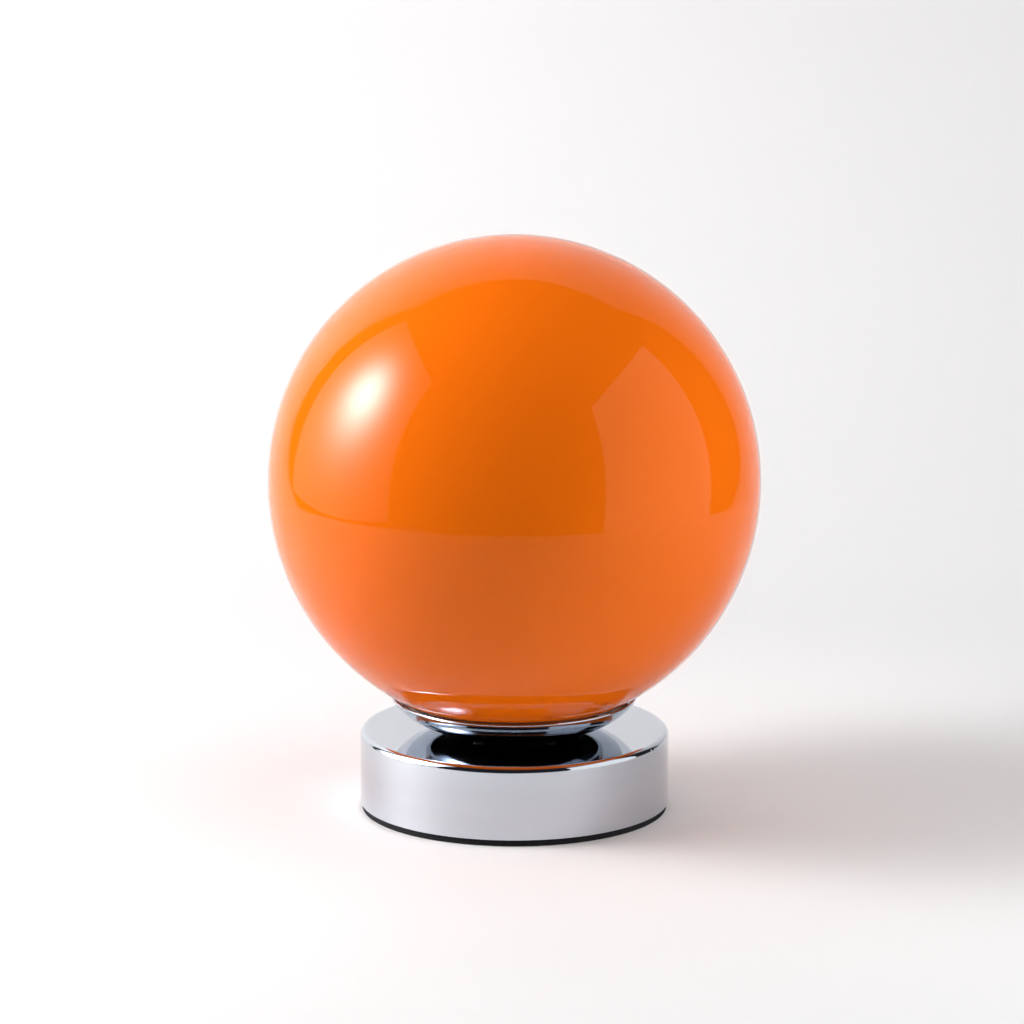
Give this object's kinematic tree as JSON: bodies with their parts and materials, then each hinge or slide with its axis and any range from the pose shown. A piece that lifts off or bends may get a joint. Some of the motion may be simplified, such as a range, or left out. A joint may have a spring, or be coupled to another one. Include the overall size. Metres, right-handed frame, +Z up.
{
  "type": "glass globe table lamp",
  "caption": "Table lamp with a lift-off glass globe resting in a shallow metal dish on a low weighted round base, with a screw-in bulb inside.",
  "frame": {"origin": "centre of the foot pad's underside, on the lamp's upright axis", "axes": "+Z up along the lamp's axis, +Y towards the cord inlet at the back, -Y towards the picture's camera"},
  "size_m": [0.2, 0.2, 0.2362],
  "materials": {
    "foot_foam": "matt black foam",
    "drum_chrome": "bright chrome plate",
    "plate_black": "satin black paint",
    "screw_steel": "zinc-plated screws",
    "cast_ballast": "rough casting",
    "zinc_steel": "zinc plate",
    "inlet_black": "satin black",
    "block_nylon": "milky nylon",
    "brass_parts": "bare brass",
    "spacer_black": "matt black fibre",
    "dish_chrome": "bright chrome plate",
    "spring_steel": "bright spring steel",
    "clear_silicone": "milky silicone",
    "holder_bakelite": "black moulding",
    "core_ceramic": "unglazed porcelain",
    "brown_insulation": "brown insulation",
    "blue_insulation": "blue insulation",
    "green_insulation": "green insulation",
    "contact_tin": "tinned",
    "insulator_black": "black glass",
    "cap_nickel": "nickel-plated",
    "housing_white": "white moulding",
    "board_white": "white solder mask",
    "led_yellow": "phosphor",
    "board_green": "circuit board",
    "capacitor_black": "sleeved can",
    "diffuser_opal": "opal",
    "globe_orange": "opal orange, gloss"
  },
  "bodies": {
    "base": {"foot_pad": "foot_foam", "base_shell": "drum_chrome", "bottom_plate": "plate_black", "bottom_screws": "screw_steel", "ballast_ring": "cast_ballast", "base_posts": "zinc_steel", "inlet_grommet": "inlet_black", "terminal_block": "block_nylon", "terminal_inserts": "brass_parts", "terminal_screws": "screw_steel", "block_screw": "screw_steel", "threaded_tube": "zinc_steel", "lower_lock_nut": "zinc_steel", "upper_lock_nut": "zinc_steel", "toothed_washer": "zinc_steel", "flat_washer": "zinc_steel", "earth_tag": "brass_parts", "dish_spacer": "spacer_black", "gallery_dish": "dish_chrome", "globe_clips": "spring_steel", "clip_rivets": "zinc_steel", "globe_gasket": "clear_silicone", "holder_cap": "holder_bakelite", "holder_grub_screw": "screw_steel", "holder_core": "core_ceramic", "core_screws": "brass_parts", "holder_sleeve": "holder_bakelite", "screw_shell": "brass_parts", "centre_contact": "brass_parts", "contact_screw": "brass_parts", "live_wire": "brown_insulation", "neutral_wire": "blue_insulation", "earth_wire": "green_insulation"},
    "bulb_carrier": {"bulb_contact": "contact_tin"},
    "bulb": {"bulb_insulator": "insulator_black", "bulb_cap": "cap_nickel", "bulb_housing": "housing_white", "led_board": "board_white", "led_chips": "led_yellow", "driver_board": "board_green", "driver_capacitor": "capacitor_black", "bulb_diffuser": "diffuser_opal"},
    "globe": {"glass_globe": "globe_orange"}
  },
  "joints": [
    {"name": "globe_lift", "type": "slide", "parent": "base", "child": "globe", "axis": [0, 0, 1], "range_m": [0, 0.16]},
    {"name": "bulb_rise", "type": "slide", "parent": "base", "child": "bulb_carrier", "axis": [0, 0, 1], "range_m": [0, 0.01801]},
    {"name": "bulb_turn", "type": "hinge", "parent": "bulb_carrier", "child": "bulb", "pos_m": [0, 0, 0.087], "axis": [0, 0, 1], "range_deg": [0, 1800]}
  ],
  "couplings": [
    {"joint": "bulb_rise", "follows": "bulb_turn", "m_per_rad": 0.00057296}
  ]
}
